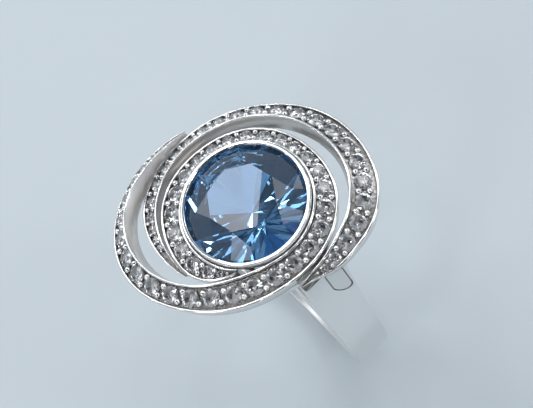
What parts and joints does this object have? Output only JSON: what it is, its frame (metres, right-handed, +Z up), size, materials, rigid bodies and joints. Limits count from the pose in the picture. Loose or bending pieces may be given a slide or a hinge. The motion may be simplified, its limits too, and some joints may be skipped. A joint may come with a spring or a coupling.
{
  "type": "cocktail ring",
  "caption": "Silver cocktail ring: a round blue faceted stone in a bezel, inside a pave spiral band that a second pave band crosses, on a plain shank with open shoulders.",
  "frame": {"origin": "centre of the finger hole, midway between the faces of the shank", "axes": "+Z up through the middle of the centre stone, +Y along the finger, +X across the finger, the hoop of the shank lies in the XZ plane"},
  "size_m": [0.0204, 0.0205, 0.0249],
  "materials": {
    "silver": "polished rhodium-plated silver",
    "blue_stone": "faceted and polished",
    "clear_stone": "faceted and polished"
  },
  "bodies": {
    "root": {"shank": "silver", "gallery_basket": "silver", "bezel_cup": "silver", "spiral_band": "silver", "arc_band": "silver", "centre_stone": "blue_stone", "spiral_stone_01": "clear_stone", "spiral_stone_02": "clear_stone", "spiral_stone_03": "clear_stone", "spiral_stone_04": "clear_stone", "spiral_stone_05": "clear_stone", "spiral_stone_06": "clear_stone", "spiral_stone_07": "clear_stone", "spiral_stone_08": "clear_stone", "spiral_stone_09": "clear_stone", "spiral_stone_10": "clear_stone", "spiral_stone_11": "clear_stone", "spiral_stone_12": "clear_stone", "spiral_stone_13": "clear_stone", "spiral_stone_14": "clear_stone", "spiral_stone_15": "clear_stone", "spiral_stone_16": "clear_stone", "spiral_stone_17": "clear_stone", "spiral_stone_18": "clear_stone", "spiral_stone_19": "clear_stone", "spiral_stone_20": "clear_stone", "spiral_stone_21": "clear_stone", "spiral_stone_22": "clear_stone", "spiral_stone_23": "clear_stone", "spiral_stone_24": "clear_stone", "spiral_stone_25": "clear_stone", "spiral_stone_26": "clear_stone", "spiral_stone_27": "clear_stone", "spiral_stone_28": "clear_stone", "spiral_stone_29": "clear_stone", "spiral_stone_30": "clear_stone", "spiral_stone_31": "clear_stone", "spiral_stone_32": "clear_stone", "spiral_stone_33": "clear_stone", "spiral_stone_34": "clear_stone", "arc_stone_01": "clear_stone", "arc_stone_02": "clear_stone", "arc_stone_03": "clear_stone", "arc_stone_04": "clear_stone", "arc_stone_05": "clear_stone", "arc_stone_06": "clear_stone", "arc_stone_07": "clear_stone", "arc_stone_08": "clear_stone", "arc_stone_09": "clear_stone", "arc_stone_10": "clear_stone", "arc_stone_11": "clear_stone", "arc_stone_12": "clear_stone", "arc_stone_13": "clear_stone", "arc_stone_14": "clear_stone", "arc_stone_15": "clear_stone", "arc_stone_16": "clear_stone", "arc_stone_17": "clear_stone", "arc_stone_18": "clear_stone", "arc_stone_19": "clear_stone", "arc_stone_20": "clear_stone"}
  },
  "joints": []
}
